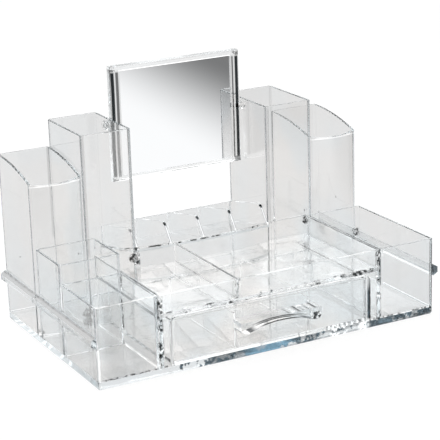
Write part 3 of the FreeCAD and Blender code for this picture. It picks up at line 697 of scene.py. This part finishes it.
# Tints of the painted shade: near black, dark blue, and sky blue.
EDGE_BLACK = (0.0008, 0.0012, 0.0014, 1)
EDGE_BLUE = (0.012, 0.024, 0.034, 1)
SKY_BLUE = (0.07, 0.22, 0.38, 1)
SILVER = (0.93, 0.94, 0.95, 1)
PAINT_DARK = (0.26, 0.27, 0.28, 1)
PAINT_LIGHT = (0.36, 0.37, 0.38, 1)
# Strength of the glow of the painted highlights.
GLINT_LIGHT = 0.9
ACRYLIC_IOR = 1.49
# Noises: scale, detail and roughness.
MARKS = (55.0, 6.0, 0.65)
WAVES = (26.0, 1.0, 0.4)
RIPPLES = (340.0, 2.0, 0.5)
HUES = (17.0, 1.0, 0.4)
SPECKS = (420.0, 3.0, 0.6)
MARK_START = 0.45
MARK_FULL = 0.8
HUE_CHANGE = (0.40, 0.60)
SPECK_CHANGE = (0.35, 0.7)
WAVE_HEIGHT = 0.00015
RIPPLE_HEIGHT = 0.04     # as a share of the waves' height
CHIP_HEIGHT = 8.0        # how much the ripples grow on a chipped seam
# Where the ripples put painted dark flecks and painted highlights on the seams, and how strong they are.
SEAM_FLECK_SHADE = (0.48, 0.53, 0.35, 1.0)
SEAM_FLECK_HIGHLIGHT = (0.36, 0.40, 0.5, 0.0)
SILVER_DEPTH = (SILVER_FACE + 0.2 * MM, SILVER_FACE + 0.5 * MM)
PAINT_ROUGHNESS = 0.55
SILVER_ROUGHNESS = 0.015


def clear_acrylic(name, smudge=0.03, depth=1.6, dark=None, glint=None, dark_tint=EDGE_BLACK, wave=1.0):
    """Polished clear acrylic: faintly uneven from the mould, with handling marks, blue-grey where it is deep.

    smudge is the roughness of the marks, depth the density of the blue-grey, wave the height of the waves.
    dark(place) gives the share of painted shade in dark_tint, which is a colour or a function of the place
    that gives one.
    glint(place) gives a painted highlight, a glow that stands for the light that an edge pipes out.
    """
    material, tree = new_material(name)
    place = object_place(tree)
    ripples = noise(place, *RIPPLES)
    chips_and_painted_flecks = seam_chips_and_painted_flecks(place)
    height = noise(place, *WAVES) * wave + ripples * (chips_and_painted_flecks * CHIP_HEIGHT + RIPPLE_HEIGHT)
    relief = {"Strength": 1.0, "Distance": WAVE_HEIGHT, "Height": height}
    bump = add_node(tree, "ShaderNodeBump", None, relief)
    # Painted shade and painted highlights: dark flecks and glints on the seams, then what dark and glint add.
    painted_shade = chips_and_painted_flecks * ripples.ramp(*SEAM_FLECK_SHADE)
    painted_highlight = chips_and_painted_flecks * ripples.ramp(*SEAM_FLECK_HIGHLIGHT)
    if dark is not None:
        painted_shade = painted_shade.larger(dark(place))
    if glint is not None:
        painted_highlight = painted_highlight.larger(glint(place))
    if callable(dark_tint):
        dark_tint = dark_tint(place)
    clear = mixed(noise(place, *HUES).ramp(*HUE_CHANGE), WARM_TINT, COOL_TINT)
    sockets = {
        "Base Color": mixed(painted_shade, clear, dark_tint),
        "Roughness": noise(place, *MARKS).ramp(MARK_START, MARK_FULL, 0.0, smudge),
        "IOR": ACRYLIC_IOR,
        "Transmission Weight": 1.0,
        "Normal": bump,
        "Emission Color": mixed(painted_highlight, BLACK, WHITE),
        "Emission Strength": GLINT_LIGHT,
    }
    surface = add_node(tree, "ShaderNodeBsdfPrincipled", None, sockets)
    inside = add_node(tree, "ShaderNodeVolumeAbsorption", None, {"Color": DEPTH_COLOUR, "Density": depth})
    add_node(tree, "ShaderNodeOutputMaterial", None, {"Surface": surface, "Volume": inside})
    return material


def mirror_finish():
    """Silvered face in front, flat grey paint behind and round the edge."""
    material, tree = new_material("silvered_plate")
    place = object_place(tree)
    face = axes_of(place)[AWAY].falls(*SILVER_DEPTH)
    paint = mixed(noise(place, *SPECKS).ramp(*SPECK_CHANGE), PAINT_DARK, PAINT_LIGHT)
    sockets = {
        "Base Color": mixed(face, paint, SILVER),
        "Metallic": face,
        "Roughness": face.ramp(0.0, 1.0, PAINT_ROUGHNESS, SILVER_ROUGHNESS),
    }
    surface = add_node(tree, "ShaderNodeBsdfPrincipled", None, sockets)
    add_node(tree, "ShaderNodeOutputMaterial", None, {"Surface": surface})
    return material


# Finishes by the record's slot, then those of single pieces.
SLOT_FINISHES = {
    "clear_acrylic": clear_acrylic("case_acrylic", dark=case_lines, glint=painted_rim_highlights),
    "drawer_acrylic": clear_acrylic("drawer_acrylic", smudge=0.04, depth=0.5),
    "frame_acrylic": clear_acrylic("pin_acrylic", smudge=0.02),
    "mirror": mirror_finish(),
}
PIECE_FINISHES = {
    "mirror_frame": clear_acrylic("frame_acrylic", smudge=0.02, dark=frame_sides, glint=frame_light),
    "base_plate": clear_acrylic(
        "base_acrylic",
        depth=0.9,
        dark=plate_edge,
        glint=plate_light,
        dark_tint=plate_tint,
    ),
    "left_bin": clear_acrylic("bin_acrylic", smudge=0.05, dark=case_lines, glint=painted_rim_highlights, wave=3.0),
    "deck_tray": clear_acrylic(
        "deck_acrylic",
        smudge=0.3,
        depth=0.9,
        dark=case_lines,
        glint=painted_rim_highlights,
        wave=1.5,
    ),
    "drawer_front": clear_acrylic(
        "drawer_front_acrylic",
        smudge=0.15,
        depth=0.7,
        dark=drawer_end,
        glint=drawer_end_light,
        dark_tint=EDGE_BLUE,
    ),
    "deck_partition": clear_acrylic("partition_acrylic", dark=partition_edges),
    "left_side_rail": clear_acrylic("left_rail_acrylic", dark=rail_lines),
    "drawer_pull": clear_acrylic("pull_acrylic", smudge=0.02, dark=pull_lines),
    "rack_fin": clear_acrylic("fin_acrylic", dark=fin_tip_shade, glint=fin_front_highlight),
    "right_side_rail": clear_acrylic("right_rail_acrylic", dark=right_rail_shade, dark_tint=EDGE_BLUE),
}
LEFT_BINS = ("left_front_bin", "left_middle_bin")


def family(name):
    """The name under which a piece has its own finish: fins share one, and so do the left bins."""
    if name.startswith("rack_fin"):
        return "rack_fin"
    return "left_bin" if name in LEFT_BINS else name


def finish_pieces():
    """Each piece gets a finish of its own, or that of its slot in the record."""
    slots = {entry["node"]: entry["material_slot"] for entry in frame["record"]["subparts"]}
    for name, node in frame["nodes"].items():
        for slot in node.material_slots:
            slot.material = PIECE_FINISHES.get(family(name), SLOT_FINISHES[slots[name]])


# ---------------------------------------------------------------- smooth walls

JOIN_DISTANCE = 0.000001
CORNER_ANGLE = math.radians(24)


def smoothing():
    """Nodes that join a mesh's triangles and shade its curved walls smooth, with crisp corners kept."""
    group = bpy.data.node_groups.new("smooth_walls", "GeometryNodeTree")
    group.interface.new_socket("Geometry", in_out="INPUT", socket_type="NodeSocketGeometry")
    group.interface.new_socket("Geometry", in_out="OUTPUT", socket_type="NodeSocketGeometry")
    mesh = add_node(group, "NodeGroupInput")
    triangles = {"Geometry": mesh, "Distance": JOIN_DISTANCE}
    joined = add_node(group, "GeometryNodeMergeByDistance", None, triangles)
    faces = {"Geometry": joined, "Shade Smooth": True}
    smooth = add_node(group, "GeometryNodeSetShadeSmooth", {"domain": "FACE"}, faces)
    angle = add_node(group, "GeometryNodeInputMeshEdgeAngle")
    comparison = {"data_type": "FLOAT", "operation": "GREATER_THAN"}
    corner = add_node(group, "FunctionNodeCompare", comparison, {0: angle, 1: CORNER_ANGLE})
    edges = {"Geometry": smooth, "Selection": corner, "Shade Smooth": False}
    crisp = add_node(group, "GeometryNodeSetShadeSmooth", {"domain": "EDGE"}, edges)
    add_node(group, "NodeGroupOutput", None, {"Geometry": crisp})
    return group


def smooth_pieces():
    """Puts the smoothing nodes on every piece."""
    group = smoothing()
    for node in frame["nodes"].values():
        node.modifiers.new("smooth_walls", "NODES").node_group = group


finish_pieces()
smooth_pieces()

# ---------------------------------------------------------------- render settings

LIGHT_BOUNCES = 64
CLEAR_BOUNCES = 48
STRONGEST_BOUNCE = 6

scene.view_settings.view_transform = "Standard"
scene.cycles.max_bounces = LIGHT_BOUNCES
scene.cycles.transmission_bounces = LIGHT_BOUNCES
scene.cycles.glossy_bounces = LIGHT_BOUNCES
scene.cycles.transparent_max_bounces = CLEAR_BOUNCES
scene.cycles.sample_clamp_indirect = STRONGEST_BOUNCE
scene.cycles.use_denoising = True
